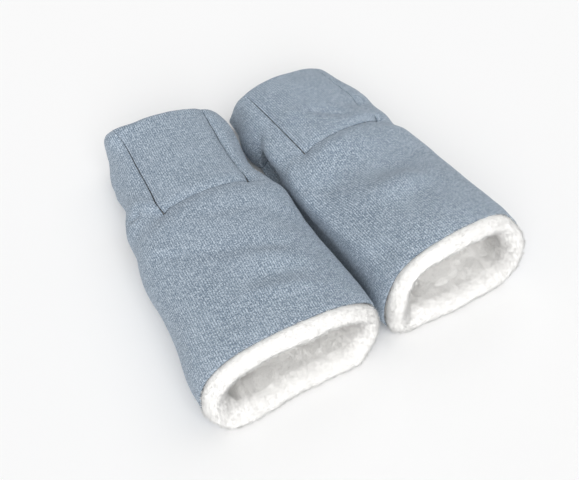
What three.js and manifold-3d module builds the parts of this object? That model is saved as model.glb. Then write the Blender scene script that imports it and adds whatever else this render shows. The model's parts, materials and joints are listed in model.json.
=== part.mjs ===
// A pair of padded hand muffs for a pushchair handlebar, in millimetres, +Z up.
// Each muff lies on its underside: its boxed head points to +Y and its open fur cuff to -Y.
// The underside of the head is a flap, sewn on at the head end and closed by two press studs,
// so that the muff goes over a handlebar, which then runs through the slot in each side.
import * as THREE from "three";
import { mergeVertices } from "three/addons/utils/BufferGeometryUtils.js";
import Module from "manifold-3d";

// Outer form, shared by both muffs
const muffLength = 297;
const headLength = 127;
const headEndHalfWidth = 60;
const headHalfWidth = 64;
const sleeveHalfWidth = 74;
const headHeight = 71;
const sleeveHeight = 76;
const crownHalfWidth = 43;
const crownDrop = 9;
const endRadius = 17;
const endCornerPower = 3;
const headTaper = 60;
const flareStart = 80;
const flareEnd = 160;
const cuffFlareStart = 165;
const junctionBlend = 22;
const widestShare = 0.44;
const flatShare = 0.72;
const tongueShare = 0.85;
const kneeShare = 0.55;
const roundPower = 2 / 2.4;

// What differs between the two muffs as they lie
const leftCuffHalfWidth = 81;
const leftCuffHeight = 84;
const leftHeadSlump = 2;
const rightCuffHalfWidth = 71;
const rightCuffHeight = 97;
const rightHeadSlump = 13;
const headSpacing = 135;
const headStagger = 7;
const splayDegrees = 2.35;

// Layers of the wall, from the outside in
const clothThickness = 1.6;
const waddingThickness = 7.5;
const furThickness = 6.3;
const layerGap = 0.5;
const padGap = 1.6;
const metalGap = 0.3;

// Flap, slit and handlebar slots
const hingeHalfWidth = 40;
const flapOverlap = 20;
const slotLength = 36;
const slotTop = 49;
const slotBottom = 12;
const slotCorner = 6;
const rampLength = 12;

// Fur roll round the cuff
const rollReach = 14;
const pileProud = 1.5;

// Press studs
const studSpacing = 60;
const capRadius = 6;
const capThickness = 0.8;
const ringRadius = 5.2;
const socketHeight = 2.2;
const socketBase = 0.8;
const knobRadius = 2.3;
const knobHeight = 1.3;
const flangeThickness = 0.8;
const rivetRadius = 1.4;

// How finely the faces are cut
const lowerSteps = 3;
const sideSteps = 4;
const crownSteps = 2;
const rollSteps = 6;
const headSteps = 2;
const sleeveSteps = 4;
const endTurnShares = [0, 0.2, 0.42, 0.7, 1];
const lathePoints = 10;
const overrun = 1;

// Where the flap's overlap lies: the studs sit in its middle, under the seam across the crown
const slitFromEnd = headLength - flapOverlap / 2;
const slotStart = slitFromEnd - slotLength;
const slotEnd = slitFromEnd + layerGap;
const tongueEnd = slitFromEnd + flapOverlap + layerGap;
const rampEnd = tongueEnd + rampLength;

// Depths of the layers below the outer face
const waddingOuter = clothThickness + layerGap;
const waddingInner = waddingOuter + waddingThickness;
const furOuter = waddingInner + layerGap;
const furInner = furOuter + furThickness;
const hingeHeight = furInner / 2;
const upperHingeHeight = hingeHeight + layerGap;

// Heights of the press stud's parts above the floor
const capTop = metalGap + capThickness;
const flapTongueLift = capTop + metalGap;
const socketBottom = flapTongueLift + clothThickness + metalGap;
const socketTop = socketBottom + socketHeight;
const flangeBottom = socketTop + metalGap;
const flangeTop = flangeBottom + flangeThickness;
const underTongueLift = flangeTop + metalGap;
const backingBottom = underTongueLift + clothThickness + metalGap;
const backingTop = furOuter - metalGap;

const wasm = await Module();
wasm.setup();

const mix = (a, b, t) => a + (b - a) * t;

function smooth(x, from, to) {
  const t = Math.min(Math.max((x - from) / (to - from), 0), 1);
  return t * t * (3 - 2 * t);
}

// Sizes of the cross-section at a distance s from the head end, for the face that lies depth inside
function sectionSizes(muff, s, depth) {
  const flare = smooth(s, flareStart, flareEnd);
  const cuff = smooth(s, cuffFlareStart, muffLength);
  const slump = muff.headSlump * Math.max(0, 1 - s / headLength) ** 2;
  const head = mix(headEndHalfWidth, headHalfWidth, smooth(s, 0, headTaper));
  const halfWidth = mix(mix(head, sleeveHalfWidth, flare), muff.cuffHalfWidth, cuff);
  const top = mix(mix(headHeight - slump, sleeveHeight, flare), muff.cuffHeight, cuff);
  return {
    halfWidth: halfWidth - depth,
    widest: widestShare * top,
    top: top - depth,
    crownHalf: crownHalfWidth - depth / 2,
    crownSeam: top - crownDrop - depth,
    flatHalf: flatShare * halfWidth - depth / 2,
    floor: depth,
  };
}

// A place on the cross-section, v, runs from 0 at the middle of the underside, up the right side, to 4 at the
// middle of the top: 1 ends the flat, 2 is the widest point and 3 the crown seam. From 4 to 8, or below 0,
// it is on the left side, which mirrors the right one.
const sideOf = (v) => (v > 4 || v < 0 ? -1 : 1);
const rightSide = (v) => (v > 4 ? 8 - v : Math.abs(v));

// The sleeve's round upper half, for w from 2 to 4
function roundPoint(size, w) {
  const lift = ((w - 2) * Math.PI) / 4;
  return [
    size.halfWidth * Math.cos(lift) ** roundPower,
    mix(size.widest, size.top, Math.sin(lift) ** roundPower),
  ];
}

// The head's upper half: a side that bows in to the crown seam, then the arched crown
function boxPoint(size, w) {
  if (w > 3) {
    const share = 4 - w;
    return [size.crownHalf * share, mix(size.top, size.crownSeam, share * share)];
  }
  const t = w - 2;
  const knee = mix(size.widest, size.crownSeam, kneeShare);
  return [
    mix(size.halfWidth, size.crownHalf, t * t),
    mix(mix(size.widest, knee, t), mix(knee, size.crownSeam, t), t),
  ];
}

function sectionPoint(size, v, boxed) {
  const w = rightSide(v);
  if (w <= 1) return [sideOf(v) * size.flatHalf * w, size.floor];
  if (w <= 2) {
    const turn = ((w - 1) * Math.PI) / 2;
    const x = mix(size.flatHalf, size.halfWidth, Math.sin(turn));
    return [sideOf(v) * x, mix(size.widest, size.floor, Math.cos(turn))];
  }
  const round = roundPoint(size, w);
  const box = boxPoint(size, w);
  return [sideOf(v) * mix(round[0], box[0], boxed), mix(round[1], box[1], boxed)];
}

// A point of the muff's wall. A ring is { s } along the muff, or { turn } on the rounded head end, where
// the section closes, from below and from above, on the hinge line.
function wallPoint(muff, ring, v, depth, hingeLine) {
  let s = ring.s;
  let open = 1;
  if (ring.turn !== undefined) {
    const radius = Math.max(endRadius - depth, endRadius / 4);
    s = depth + radius * (1 - Math.cos(ring.turn));
    open = Math.sin(ring.turn);
  }
  const boxed = 1 - smooth(s, headLength - layerGap, headLength + junctionBlend);
  const [x, z] = sectionPoint(sectionSizes(muff, s, depth), v, boxed);
  const rounded = 1 - (1 - open) ** endCornerPower;
  const hingeX = hingeHalfWidth * hingeShare(v, lowerEdge(muff, ring));
  return [mix(hingeX, x, rounded), -s, mix(hingeLine, z, open)];
}

// Where a line of the net meets the hinge line, as a share of the hinge's half width: the flap and the
// crown spread over the whole hinge, and the sides end in its corners.
function hingeShare(v, low) {
  const w = rightSide(v);
  if (w < low) return (sideOf(v) * w) / low;
  return sideOf(v) * (w > 3 ? 4 - w : 1);
}

// A net is a grid over the wall: its rings, the lines that cross each ring, which cells it keeps, how far
// each ring is lifted off the wall's face, the hinge line's height, and whether it goes all the way round.
const plainNet = { keep: () => true, lift: () => 0, hingeLine: 0, loop: false };

// A closed sheet over a net, from an outer depth to an inner one
function sheet(muff, { outer, inner }, net) {
  const { rings, lines, keep, lift, hingeLine, loop } = { ...plainNet, ...net };
  const points = [];
  const rows = rings.map((ring) => {
    const shift = lift(ring.s ?? 0);
    return lines(ring).map((v) => {
      points.push(wallPoint(muff, ring, v, outer + shift, hingeLine));
      points.push(wallPoint(muff, ring, v, inner + shift, hingeLine));
      return points.length - 2;
    });
  });
  const columns = rows[0].length;
  const cells = loop ? columns : columns - 1;
  const kept = (i, j) => {
    const column = loop ? (j + cells) % cells : j;
    return i >= 0 && i < rings.length - 1 && column >= 0 && column < cells && keep(i, column);
  };
  const faces = [];
  const apart = (a, b) => points[a].some((x, k) => x !== points[b][k]);
  const triangle = (a, b, c) => {
    if (apart(a, b) && apart(b, c) && apart(c, a)) faces.push(a, b, c);
  };
  const quad = (a, b, c, d) => {
    triangle(a, b, c);
    triangle(a, c, d);
  };
  for (let i = 0; i < rings.length - 1; i++) {
    for (let j = 0; j < cells; j++) {
      if (!kept(i, j)) continue;
      const next = (j + 1) % columns;
      const corners = [rows[i][j], rows[i][next], rows[i + 1][next], rows[i + 1][j]];
      quad(...corners);
      // The inner face has the same diagonal, so that facing layers nest.
      const [a, b, c, d] = corners.map((k) => k + 1);
      quad(a, d, c, b);
      const beyond = [kept(i - 1, j), kept(i, j + 1), kept(i + 1, j), kept(i, j - 1)];
      beyond.forEach((there, k) => {
        const from = corners[k];
        const to = corners[(k + 1) % corners.length];
        if (!there) quad(to, from, from + 1, to + 1);
      });
    }
  }
  return closedGeometry(points, faces);
}

function closedGeometry(points, faces) {
  const geometry = new THREE.BufferGeometry();
  geometry.setAttribute("position", new THREE.Float32BufferAttribute(points.flat(), 3));
  geometry.setIndex(faces);
  return geometry;
}

// three.js geometry to a manifold-3d solid, and back
function solidOf(geometry) {
  const bare = geometry.clone();
  bare.deleteAttribute("normal");
  bare.deleteAttribute("uv");
  const merged = mergeVertices(bare);
  return new wasm.Manifold(
    new wasm.Mesh({
      numProp: 3,
      vertProperties: new Float32Array(merged.attributes.position.array),
      triVerts: new Uint32Array(merged.index.array),
    }),
  );
}

function geometryOf(solid) {
  const mesh = solid.getMesh();
  const geometry = new THREE.BufferGeometry();
  geometry.setAttribute("position", new THREE.BufferAttribute(mesh.vertProperties, 3));
  geometry.setIndex(new THREE.BufferAttribute(mesh.triVerts, 1));
  return geometry;
}

function cut(geometry, cutters) {
  const left = cutters.reduce((solid, cutter) => solid.subtract(solidOf(cutter)), solidOf(geometry));
  return geometryOf(left);
}

// Rings along the muff
const endRings = endTurnShares.map((share) => ({ turn: (share * Math.PI) / 2 }));
const evenRings = (from, to, steps) =>
  Array.from({ length: steps + 1 }, (_, i) => ({ s: mix(from, to, i / steps) }));
const headRings = [...evenRings(endRadius + furInner, slotStart, headSteps), { s: slitFromEnd }];
const sleeveRings = [
  { s: headLength },
  { s: tongueEnd },
  { s: rampEnd },
  ...evenRings(mix(rampEnd, muffLength, 1 / sleeveSteps), muffLength, sleeveSteps - 1),
];
const archRings = [...endRings, ...headRings, ...sleeveRings];
const crownRings = [...endRings, ...headRings, { s: headLength - layerGap }];
const flapHeadRings = [...endRings, ...headRings.slice(0, -1)];
const flapRings = [
  ...flapHeadRings,
  { s: slitFromEnd - rampLength },
  { s: slitFromEnd },
  { s: slitFromEnd + flapOverlap },
];
const padRings = [...flapHeadRings, { s: slitFromEnd - rampLength - padGap }];
const underRings = [{ s: slitFromEnd }, ...sleeveRings];
const underPadRings = [{ s: rampEnd + layerGap }, ...sleeveRings.filter((ring) => ring.s > rampEnd)];
const firstOf = (rings, s) => rings.findIndex((ring) => ring.s !== undefined && ring.s >= s);

// Where the sides end below. In the head that is the edge of the flap, which turns up from the flat to
// the slots; behind the slit it is the end of the flat.
function flapEdge(muff, ring) {
  const s = Math.min(ring.s ?? 0, slotStart);
  const lip = Math.acos(1 - slotBottom / sectionSizes(muff, s, 0).widest) / (Math.PI / 2);
  return 1 + (lip * s) / slotStart;
}

function lowerEdge(muff, ring) {
  return ring.s !== undefined && ring.s >= slitFromEnd ? 1 : flapEdge(muff, ring);
}

// The lines of the sides and top, from the right lower edge over to the left one
function archLines(muff, ring) {
  const low = lowerEdge(muff, ring);
  const right = [];
  for (let j = 0; j < lowerSteps; j++) right.push(mix(low, 2, j / lowerSteps));
  for (let j = 0; j < sideSteps; j++) right.push(2 + j / sideSteps);
  for (let j = 0; j < crownSteps; j++) right.push(3 + j / crownSteps);
  return [...right, 4, ...right.map((v) => 8 - v).reverse()];
}
const seamLine = lowerSteps + sideSteps;
const farSeamLine = seamLine + 2 * crownSteps;

// The lines of the crown and of the underside, each with a gap beside its seams
function crownLines(gap) {
  const near = 3 + gap / crownHalfWidth;
  return Array.from({ length: 2 * crownSteps + 1 }, (_, j) => mix(near, 8 - near, j / (2 * crownSteps)));
}

function underLines(muff, ring, gap) {
  const low = lowerEdge(muff, ring) - gap / crownHalfWidth;
  return [-low, 0, low];
}

function flapLines(muff, ring, gap) {
  const low = flapEdge(muff, ring) - gap / crownHalfWidth;
  const right = [tongueShare, mix(tongueShare, low, 1 / 3), mix(tongueShare, low, 2 / 3), low];
  return [...right.map((v) => -v).reverse(), 0, ...right];
}

// The slots that a handlebar runs through, as one cutter right through the muff
function slotCutter() {
  const shape = new THREE.Shape();
  shape.moveTo(slotStart, -overrun);
  shape.lineTo(slotEnd, -overrun);
  shape.lineTo(slotEnd, slotTop - slotCorner);
  shape.absarc(slotEnd - slotCorner, slotTop - slotCorner, slotCorner, 0, Math.PI / 2, false);
  shape.lineTo(slotStart + slotCorner, slotTop);
  shape.absarc(slotStart + slotCorner, slotTop - slotCorner, slotCorner, Math.PI / 2, Math.PI, false);
  shape.closePath();
  const reach = sleeveHalfWidth + overrun;
  const solid = new THREE.ExtrudeGeometry(shape, { depth: 2 * reach, bevelEnabled: false, curveSegments: 4 });
  solid.translate(0, 0, -reach);
  // The drawing's x is the distance from the head end, so it goes to -Y, and its y goes to +Z.
  const turn = new THREE.Matrix4().makeBasis(
    new THREE.Vector3(0, -1, 0),
    new THREE.Vector3(0, 0, 1),
    new THREE.Vector3(-1, 0, 0),
  );
  return solid.applyMatrix4(turn);
}

// A turned piece from its profile of [radius, height] pairs, standing on the stud's axis
function turned(profile, x) {
  const points = profile.map(([r, z]) => new THREE.Vector2(r, z));
  const solid = new THREE.LatheGeometry(points, lathePoints);
  return solid.rotateX(Math.PI / 2).translate(x, -headLength, 0);
}

// Cutters for the holes that the studs' rivets pass through
function rivetHoles() {
  return studPlaces.map((x) =>
    new THREE.CylinderGeometry(socketHole, socketHole, 2 * furOuter, lathePoints)
      .rotateX(Math.PI / 2)
      .translate(x, -headLength, 0),
  );
}

const studPlaces = [-studSpacing / 2, studSpacing / 2];
const socketHole = rivetRadius + metalGap;
const socketBore = knobRadius + metalGap;

const capProfile = [
  [0, metalGap],
  [capRadius, metalGap],
  [capRadius, capTop],
  [rivetRadius, capTop],
  [rivetRadius, socketBottom + socketBase],
  [0, socketBottom + socketBase],
];
const socketProfile = [
  [socketHole, socketBottom],
  [ringRadius, socketBottom],
  [ringRadius, socketTop],
  [socketBore, socketTop],
  [socketBore, socketBottom + socketBase],
  [socketHole, socketBottom + socketBase],
  [socketHole, socketBottom],
];
const knobProfile = [
  [0, flangeBottom - knobHeight],
  [knobRadius, flangeBottom - knobHeight],
  [knobRadius, flangeBottom],
  [ringRadius, flangeBottom],
  [ringRadius, flangeTop],
  [0, flangeTop],
];
const backingProfile = [
  [0, flangeTop + metalGap],
  [rivetRadius, flangeTop + metalGap],
  [rivetRadius, backingBottom],
  [ringRadius, backingBottom],
  [ringRadius, backingTop],
  [0, backingTop],
];

// The fur roll that closes the cuff's edge: a half-round section carried round the cuff
function furRoll(muff) {
  const middle = furInner / 2;
  const halfThick = middle + pileProud;
  const around = archLines(muff, { s: muffLength });
  around.push(8 - 1 / 2, 8, 8 + 1 / 2);
  const points = [];
  const faces = [];
  const count = rollSteps + 1;
  around.forEach((v) => {
    for (let k = 0; k < count; k++) {
      const angle = (Math.PI * k) / rollSteps;
      const depth = middle - halfThick * Math.cos(angle);
      const along = muffLength + layerGap + rollReach * Math.sin(angle);
      const [x, , z] = wallPoint(muff, { s: muffLength }, v > 8 ? v - 8 : v, depth, 0);
      points.push([x, -along, Math.max(z, 0)]);
    }
  });
  around.forEach((_, j) => {
    const next = (j + 1) % around.length;
    for (let k = 0; k < count; k++) {
      const after = (k + 1) % count;
      const a = j * count + k;
      const b = next * count + k;
      const c = next * count + after;
      const d = j * count + after;
      faces.push(a, b, c, a, c, d);
    }
  });
  return closedGeometry(points, faces);
}

const colours = {
  cloth: [0x8496a8, 0.95, 0],
  wadding: [0xe4e4e0, 1, 0],
  fur: [0xf4f2ee, 1, 0],
  metal: [0x9aa0a6, 0.35, 1],
};

function piece(name, geometry, finish) {
  const [color, roughness, metalness] = colours[finish];
  const mesh = new THREE.Mesh(geometry, new THREE.MeshStandardMaterial({ color, roughness, metalness }));
  mesh.name = name;
  return mesh;
}

const cloth = { outer: 0, inner: clothThickness };
const wadding = { outer: waddingOuter, inner: waddingInner };
const fur = { outer: furOuter, inner: furInner };

// The sides of the head, and the sleeve's sides and top, all in one, from a first ring on
function upperNet(muff, first) {
  const sleeveFrom = firstOf(archRings, headLength) - first;
  const inCrown = (j) => j >= seamLine && j < farSeamLine;
  return {
    rings: archRings.slice(first),
    lines: (ring) => archLines(muff, ring),
    keep: (i, j) => i >= sleeveFrom || !inCrown(j),
    hingeLine: upperHingeHeight,
  };
}

// The strip over the top of the head and down its end
function crownNet(first, gap) {
  return {
    rings: crownRings.slice(first),
    lines: () => crownLines(gap),
    hingeLine: upperHingeHeight,
  };
}

// The sleeve's underside, lifted at the slit, where the flap's tongue lies below it
function underNet(muff, rings) {
  return {
    rings,
    lines: (ring) => underLines(muff, ring, layerGap),
    lift: (s) => underTongueLift * (1 - smooth(s, tongueEnd, rampEnd)),
  };
}

// The lining is one sock: open at the cuff, and below the head, where the flap closes it
function sockNet(muff) {
  const rings = archRings.slice(1);
  const bottomFrom = firstOf(rings, slitFromEnd);
  const lines = (ring) => [0, ...archLines(muff, ring)];
  const last = lines(rings[0]).length - 1;
  return {
    rings,
    lines,
    keep: (i, j) => i >= bottomFrom || (j > 0 && j < last),
    hingeLine: upperHingeHeight,
    loop: true,
  };
}

// The flap, which narrows to its tongue past the slit
function flapNet(muff) {
  const tongueFrom = firstOf(flapRings, slitFromEnd);
  const lines = (ring) => flapLines(muff, ring, layerGap);
  const there = lines(flapRings[tongueFrom]);
  const inTongue = (j) => there[j] >= -tongueShare && there[j + 1] <= tongueShare;
  return {
    rings: flapRings,
    lines,
    keep: (i, j) => i < tongueFrom || inTongue(j),
    lift: (s) => flapTongueLift * smooth(s, slitFromEnd - rampLength, slitFromEnd),
    hingeLine: hingeHeight,
  };
}

function flapPadNet(muff, first) {
  return {
    rings: padRings.slice(first),
    lines: (ring) => flapLines(muff, ring, padGap),
    hingeLine: hingeHeight,
  };
}

function outerPieces(muff, name, slot) {
  return [
    piece(name("upper_shell"), cut(sheet(muff, cloth, upperNet(muff, 0)), [slot]), "cloth"),
    piece(name("crown_panel"), sheet(muff, cloth, crownNet(0, layerGap)), "cloth"),
    piece(name("under_panel"), cut(sheet(muff, cloth, underNet(muff, underRings)), rivetHoles()), "cloth"),
  ];
}

function innerPieces(muff, name, slot) {
  return [
    piece(name("upper_wadding"), cut(sheet(muff, wadding, upperNet(muff, 1)), [slot]), "wadding"),
    piece(name("crown_wadding"), sheet(muff, wadding, crownNet(1, padGap)), "wadding"),
    piece(name("under_wadding"), sheet(muff, wadding, underNet(muff, underPadRings)), "wadding"),
    piece(name("fur_lining"), cut(sheet(muff, fur, sockNet(muff)), [slot]), "fur"),
    piece(name("cuff_roll"), furRoll(muff), "fur"),
  ];
}

function flapPieces(muff, name) {
  return [
    piece(name("flap_shell"), cut(sheet(muff, cloth, flapNet(muff)), rivetHoles()), "cloth"),
    piece(name("flap_wadding"), sheet(muff, wadding, flapPadNet(muff, 1)), "wadding"),
    piece(name("flap_lining"), sheet(muff, fur, flapPadNet(muff, 2)), "fur"),
  ];
}

function studPieces(name) {
  const parts = { cap: capProfile, socket: socketProfile, knob: knobProfile, backing: backingProfile };
  return studPlaces.flatMap((x, i) =>
    Object.entries(parts).map(([what, profile]) =>
      piece(name("press_stud_" + (i + 1) + "_" + what), turned(profile, x), "metal"),
    ),
  );
}

function buildMuff(side, muff) {
  const name = (what) => side + "_" + what;
  const slot = slotCutter();
  const group = new THREE.Group();
  group.add(...outerPieces(muff, name, slot), ...innerPieces(muff, name, slot));
  group.add(...flapPieces(muff, name), ...studPieces(name));
  return group;
}

const left = buildMuff("left", {
  cuffHalfWidth: leftCuffHalfWidth,
  cuffHeight: leftCuffHeight,
  headSlump: leftHeadSlump,
});
const right = buildMuff("right", {
  cuffHalfWidth: rightCuffHalfWidth,
  cuffHeight: rightCuffHeight,
  headSlump: rightHeadSlump,
});
const splay = THREE.MathUtils.degToRad(splayDegrees);
left.position.set(-headSpacing / 2, -headStagger / 2, 0);
left.rotation.z = -splay;
right.position.set(headSpacing / 2, headStagger / 2, 0);
right.rotation.z = splay;

// The origin is on the floor, under the middle of the pair
const pair = new THREE.Group();
pair.add(left, right);
const around = new THREE.Box3().setFromObject(pair, true);
const middle = around.getCenter(new THREE.Vector3());
left.position.sub(middle.setZ(0));
right.position.sub(middle);

export default pair;
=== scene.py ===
# A pair of padded hand muffs for a pushchair handlebar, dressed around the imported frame, in metres.
# Each muff is worked out in its own frame: x across, y minus the distance from the head end, z up.
import json
import math

import bmesh
import bpy
import numpy as np
from mathutils import Matrix, Vector, noise


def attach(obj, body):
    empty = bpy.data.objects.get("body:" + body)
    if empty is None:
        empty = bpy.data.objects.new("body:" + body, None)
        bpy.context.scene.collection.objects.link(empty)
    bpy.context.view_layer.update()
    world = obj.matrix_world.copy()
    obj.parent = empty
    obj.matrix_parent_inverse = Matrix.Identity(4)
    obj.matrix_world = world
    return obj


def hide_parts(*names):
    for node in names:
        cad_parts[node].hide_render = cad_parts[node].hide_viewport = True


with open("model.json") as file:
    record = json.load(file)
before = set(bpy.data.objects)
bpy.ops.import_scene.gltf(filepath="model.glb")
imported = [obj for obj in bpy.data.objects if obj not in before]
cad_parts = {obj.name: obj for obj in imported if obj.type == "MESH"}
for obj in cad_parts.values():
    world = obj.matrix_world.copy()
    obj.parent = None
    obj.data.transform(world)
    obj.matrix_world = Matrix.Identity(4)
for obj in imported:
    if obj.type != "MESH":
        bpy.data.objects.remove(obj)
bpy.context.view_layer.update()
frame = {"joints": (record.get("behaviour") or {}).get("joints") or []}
print("frame loaded")

# Outer form of a muff, as the frame's solids have it
form = {
    "length": 0.297, "headLength": 0.127, "headEndHalfWidth": 0.06, "headHalfWidth": 0.064,
    "sleeveHalfWidth": 0.074, "headHeight": 0.071, "sleeveHeight": 0.076, "crownHalfWidth": 0.043,
    "crownDrop": 0.009, "endRadius": 0.017, "endCornerPower": 3, "headTaper": 0.06,
    "flareStart": 0.08, "flareEnd": 0.16, "cuffFlareStart": 0.165, "junctionStart": 0.1265,
    "junctionEnd": 0.149, "widestShare": 0.44, "flatShare": 0.72, "kneeShare": 0.55,
    "roundPower": 2 / 2.4, "hingeHalfWidth": 0.04,
}
layers = {"cloth": 0.0009, "waddingOuter": 0.0021, "waddingInner": 0.0096, "furOuter": 0.0101,
          "furInner": 0.0164}
slot = {
    "start": 0.081, "end": 0.1175, "top": 0.04, "bottom": 0.012, "corner": 0.006, "edgeRadius": 0.003,
    "facing": 0.0128,
}
flap = {
    "slit": 0.117, "overlap": 0.02, "ramp": 0.012, "tongueShare": 0.85, "tongueLift": 0.0014,
    "underLift": 0.0069, "tongueEnd": 0.1375, "rampEnd": 0.1495, "hingeLine": 0.0082,
    "upperHingeLine": 0.0087, "swellAt": 0.098, "swellReach": 0.022,
}
seam = {"edgeRadius": 0.0009, "crossRadius": 0.0007, "halfGap": 0.00004, "allowance": 0.0014}
cuffEdge = 0.2975  # where the cloth's cuff edge turns in, over the start of the roll
mouthFrom = 0.255  # from here on the sleeve follows the slant of its mouth
# The nets of points: ring step, metres across for one step of v, rings on the turn of the head end, steps
# of a turned edge, how far everything stays above the floor, and the underside's ring step and lines
grain = {"ring": 0.0028, "cellAcross": 0.045, "endSteps": 14, "turnSteps": 4, "clearance": 0.0002,
         "underRing": 0.004, "underLines": 25}
# When an edge's place counts as at the hinge line, low, out at a side, on top, or at a seam
near = {"hinge": 0.0006, "low": 0.02, "side": 0.045, "top": 0.05, "cross": 0.001, "crown": 0.0013,
        "end": 0.0002}

# What differs between the two muffs. Each one's head end is where its flap's hinge is.
# The mouth is how far the cuff stands forward at v = 0, 1 and so on to 7.
muffs = {
    "left": {"cuffHalfWidth": 0.081, "cuffHeight": 0.084, "headSlump": 0.002, "seed": 3.0,
             "slotDips": (1, 0), "slim": 0.05, "plump": 0.6, "seamDeep": 1.6, "lipSwell": 0,
             "mouth": (0.0012, 0, -0.008, -0.006, -0.004, -0.0025, 0.001, 0.008)},
    "right": {"cuffHalfWidth": 0.071, "cuffHeight": 0.097, "headSlump": 0.013, "seed": 11.0,
              "slotDips": (1, 1), "slim": 0.24, "plump": 0.5, "seamDeep": 1.0, "lipSwell": 0.004,
              "mouth": (0.0045, 0.0035, 0.0055, -0.004, -0.004, -0.0045, 0, 0.001)},
}
for sideName, muff in muffs.items():
    hinge = next(j for j in frame["joints"] if j["name"] == sideName + "_flap_hinge")
    axis = Vector(hinge["axis"])
    muff["place"] = Matrix.Translation(Vector(hinge["pos_m"][:2] + [0.0])) @ Matrix.Rotation(
        math.atan2(axis.y, axis.x), 4, "Z")
    muff["name"] = sideName

# Soft folds and dents, from one place to another on the wall: start, end, width and height. A place is the
# distance from the head end and v: 4 is the middle of the top, 3 the right crown seam, 2 the widest point
# on the right, and 5 and 6 the same on the left.
folds = {
    "left": [
        (0.092, 5.46, 0.125, 4.84, 0.006, 0.0024), (0.1, 5.6, 0.133, 4.95, 0.005, -0.002),
        (0.16, 5.3, 0.178, 4.8, 0.005, 0.0018), (0.167, 5.25, 0.187, 4.75, 0.005, -0.002),
        (0.05, 5.15, 0.075, 5.2, 0.008, 0.0014), (0.037, 6.38, 0.07, 5.6, 0.005, -0.0015),
        (0.041, 2.0, 0.107, 2.6, 0.004, -0.0015), (0.17, 3.3, 0.195, 3.0, 0.012, -0.003),
        (0.205, 3.9, 0.222, 3.45, 0.008, -0.0026), (0.214, 4.0, 0.228, 3.5, 0.009, 0.0024),
        (0.236, 4.1, 0.248, 3.5, 0.008, -0.0028), (0.25, 4.2, 0.268, 3.45, 0.006, 0.0018),
        (0.15, 4.4, 0.165, 3.4, 0.007, -0.0014), (0.19, 4.6, 0.205, 3.9, 0.008, -0.0018),
        (0.262, 4.9, 0.272, 4.2, 0.01, -0.0014), (0.012, 3.02, 0.12, 3.0, 0.004, -0.0016),
    ],
    "right": [
        (0.082, 4.3, 0.11, 3.6, 0.005, -0.0028), (0.074, 4.45, 0.084, 4.7, 0.01, 0.0026),
        (0.136, 4.6, 0.146, 4.0, 0.009, 0.0032), (0.183, 4.1, 0.2, 3.85, 0.011, -0.0024),
        (0.198, 3.9, 0.227, 3.58, 0.006, -0.0016), (0.206, 4.42, 0.237, 3.96, 0.013, 0.0026),
        (0.168, 5.15, 0.184, 4.65, 0.011, -0.0034), (0.165, 5.2, 0.18, 5.4, 0.01, 0.0026),
        (0.128, 5.35, 0.14, 5.2, 0.008, 0.0028), (0.06, 5.3, 0.078, 5.6, 0.006, -0.0014),
        (0.262, 5.4, 0.28, 4.9, 0.01, -0.0025), (0.118, 5.42, 0.265, 5.36, 0.008, 0.0028),
        (0.112, 6.05, 0.258, 6.12, 0.015, -0.0064), (0.078, 5.42, 0.12, 5.42, 0.009, 0.005),
        (0.02, 5.25, 0.08, 5.3, 0.008, 0.0012),
    ],
}

# Broad swellings and hollows: place, reach along and across, and height
bulges = {
    "left": [
        (0.01, 5.12, 0.011, 0.015, 0.0072), (0.008, 4.6, 0.012, 0.03, 0.0042),
        (0.012, 6.1, 0.016, 0.02, -0.0034), (0.045, 6.3, 0.02, 0.022, 0.0035),
        (0.108, 5.6, 0.024, 0.02, 0.007), (0.12, 6.1, 0.014, 0.03, 0.0036),
        (0.03, 2.5, 0.024, 0.022, 0.0044), (0.113, 5.43, 0.0034, 0.0036, -0.007),
        (0.133, 2.6, 0.022, 0.022, 0.0042), (0.174, 6.1, 0.034, 0.036, 0.0062),
        (0.28, 6.1, 0.03, 0.036, 0.0022),
    ],
    "right": [
        (0.012, 5.75, 0.02, 0.022, -0.004), (0.03, 6.15, 0.014, 0.02, -0.0026),
        (0.094, 2.9, 0.009, 0.022, -0.0024), (0.118, 3.05, 0.01, 0.024, 0.003),
        (0.012, 3.6, 0.018, 0.036, -0.0022), (0.085, 2.5, 0.026, 0.02, 0.0062),
        (0.058, 6.3, 0.03, 0.016, 0.006), (0.145, 2.4, 0.018, 0.022, -0.004),
        (0.102, 5.62, 0.02, 0.01, 0.0052), (0.168, 4.48, 0.019, 0.022, -0.0046),
        (0.217, 3.98, 0.014, 0.02, 0.0046), (0.238, 3.92, 0.009, 0.012, -0.0018),
        (0.288, 6.2, 0.014, 0.02, 0.004),
    ],
}


def smooth(x, start, end):
    t = np.clip((x - start) / (end - start), 0, 1)
    return t * t * (3 - 2 * t)


def mix(a, b, t):
    return a + (b - a) * t


def bell(x, width):
    return np.exp(-(x / width) ** 2)


# How far up its side of the section v lies: 0 in the middle of the underside, 4 on top
def upTheSide(v):
    return np.where(v > 4, 8 - v, np.abs(v))


# How boxed the section is: the head is a box, the sleeve is round
def boxedAt(s):
    return 1 - smooth(s, form["junctionStart"], form["junctionEnd"])


def sectionSizes(muff, s, depth):
    flare = smooth(s, form["flareStart"], form["flareEnd"])
    cuff = smooth(s, form["cuffFlareStart"], form["length"])
    slump = muff["headSlump"] * np.maximum(0, 1 - s / form["headLength"]) ** 2
    head = mix(form["headEndHalfWidth"], form["headHalfWidth"], smooth(s, 0, form["headTaper"]))
    halfWidth = mix(mix(head, form["sleeveHalfWidth"], flare), muff["cuffHalfWidth"], cuff)
    top = mix(mix(form["headHeight"] - slump, form["sleeveHeight"], flare), muff["cuffHeight"], cuff)
    return {
        "halfWidth": halfWidth - depth, "widest": form["widestShare"] * top, "top": top - depth,
        "crownHalf": form["crownHalfWidth"] - depth / 2, "crownSeam": top - form["crownDrop"] - depth,
        "flatHalf": form["flatShare"] * halfWidth - depth / 2, "floor": depth,
    }


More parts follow.
